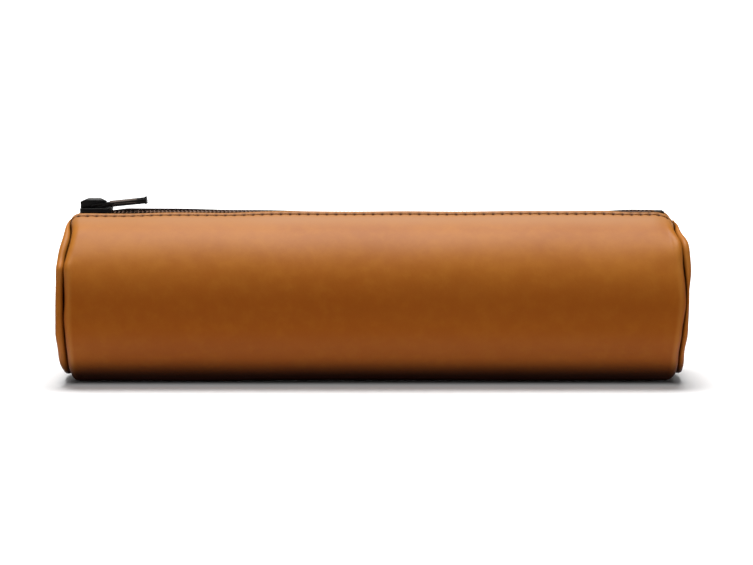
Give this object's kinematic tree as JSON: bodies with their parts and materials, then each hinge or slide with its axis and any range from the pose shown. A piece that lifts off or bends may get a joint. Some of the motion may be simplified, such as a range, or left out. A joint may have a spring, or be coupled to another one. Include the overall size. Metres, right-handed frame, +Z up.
{
  "type": "round pencil case",
  "caption": "Round barrel pencil case of tan leather with folded round ends and a coil zip along the top, whose slider opens the mouth and carries a swinging puller.",
  "frame": {"origin": "on the table under the middle of the case, at the bottom centre of its box", "axes": "+X along the barrel, from the closed slider towards the far end; -Y is the pictured front; +Z up, through the zip"},
  "size_m": [0.2044, 0.056, 0.0603],
  "materials": {
    "leather": "smooth satin cowhide",
    "zip_tape": "woven",
    "zip_coil": "semi-matt",
    "black_metal": "black enamel",
    "spring_steel": "plain"
  },
  "bodies": {
    "case": {"barrel_base_panel": "leather", "left_end_cap": "leather", "right_end_cap": "leather", "front_top_stop": "black_metal", "rear_top_stop": "black_metal", "bottom_stop": "black_metal"},
    "front_wall": {"barrel_front_panel": "leather", "front_zip_tape": "zip_tape", "front_zip_coil": "zip_coil"},
    "rear_wall": {"barrel_rear_panel": "leather", "rear_zip_tape": "zip_tape", "rear_zip_coil": "zip_coil"},
    "slider": {"slider_body": "black_metal", "slider_crown": "black_metal", "lock_spring": "spring_steel"},
    "puller": {"puller": "black_metal"}
  },
  "joints": [
    {"name": "slider_travel", "type": "slide", "parent": "case", "child": "slider", "axis": [1, 0, 0], "range_m": [0, 0.1773]},
    {"name": "puller_swing", "type": "hinge", "parent": "slider", "child": "puller", "pos_m": [-0.0915, 0, 0.0573], "axis": [0, -1, 0], "range_deg": [0, 168]},
    {"name": "front_wall_open", "type": "hinge", "parent": "case", "child": "front_wall", "pos_m": [0, -0.00958, 0.00124], "axis": [1, 0, 0], "range_deg": [0, 16], "deforming": ["front_zip_tape", "front_zip_coil"]},
    {"name": "rear_wall_open", "type": "hinge", "parent": "case", "child": "rear_wall", "pos_m": [0, 0.00958, 0.00124], "axis": [-1, 0, 0], "range_deg": [0, 16], "deforming": ["rear_zip_tape", "rear_zip_coil"]}
  ],
  "couplings": [
    {"joint": "front_wall_open", "follows": "slider_travel", "rad_per_m": 1.575},
    {"joint": "rear_wall_open", "follows": "slider_travel", "rad_per_m": 1.575}
  ]
}
